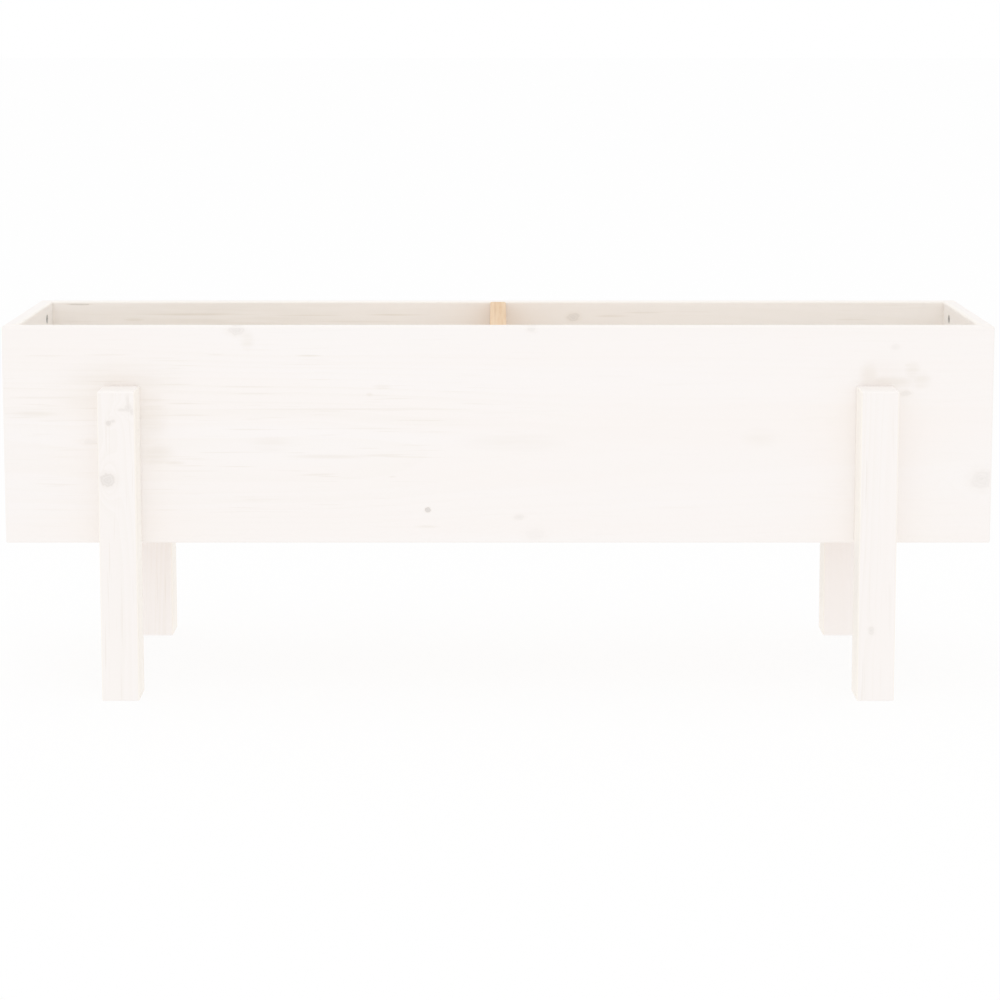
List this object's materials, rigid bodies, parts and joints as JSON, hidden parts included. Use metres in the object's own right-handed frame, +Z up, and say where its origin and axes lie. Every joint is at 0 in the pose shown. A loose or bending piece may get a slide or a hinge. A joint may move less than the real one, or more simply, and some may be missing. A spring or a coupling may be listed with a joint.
{
  "type": "raised planter with legs",
  "caption": "Long rectangular planter of white painted pine boards on square legs, with a bare pine brace across its middle and a slatted floor.",
  "frame": {"origin": "on the floor, in the middle of the planter's outline", "axes": "+X along the box towards its right end as seen from the front, +Y from front to back, +Z up"},
  "size_m": [1.01, 0.3, 0.38],
  "materials": {
    "painted_pine": "thin matt white paint over planed pine, with the grain and knots showing through",
    "brace_pine": "planed bare pine",
    "floor_pine": "planed bare pine",
    "zinc_cam": "die-cast zinc, dull",
    "beech_dowel": "turned beech",
    "zinc_plated_steel": "yellow zinc plating"
  },
  "bodies": {
    "root": {"front_board": "painted_pine", "back_board": "painted_pine", "left_end_board": "painted_pine", "right_end_board": "painted_pine", "front_left_leg": "painted_pine", "front_right_leg": "painted_pine", "back_left_leg": "painted_pine", "back_right_leg": "painted_pine", "centre_brace": "brace_pine", "front_floor_batten": "floor_pine", "back_floor_batten": "floor_pine", "floor_slat_1": "painted_pine", "floor_slat_2": "painted_pine", "floor_slat_3": "painted_pine", "floor_slat_4": "painted_pine", "floor_slat_5": "painted_pine", "floor_slat_6": "painted_pine", "floor_slat_7": "painted_pine", "floor_slat_8": "painted_pine", "floor_slat_9": "painted_pine", "floor_slat_10": "painted_pine", "corner_cams": "zinc_cam", "corner_cam_bolts": "zinc_plated_steel", "corner_dowels": "beech_dowel", "brace_cams": "zinc_cam", "brace_cam_bolts": "zinc_plated_steel", "brace_dowels": "beech_dowel", "leg_screws": "zinc_plated_steel", "batten_screws": "zinc_plated_steel", "slat_screws": "zinc_plated_steel"}
  },
  "joints": []
}
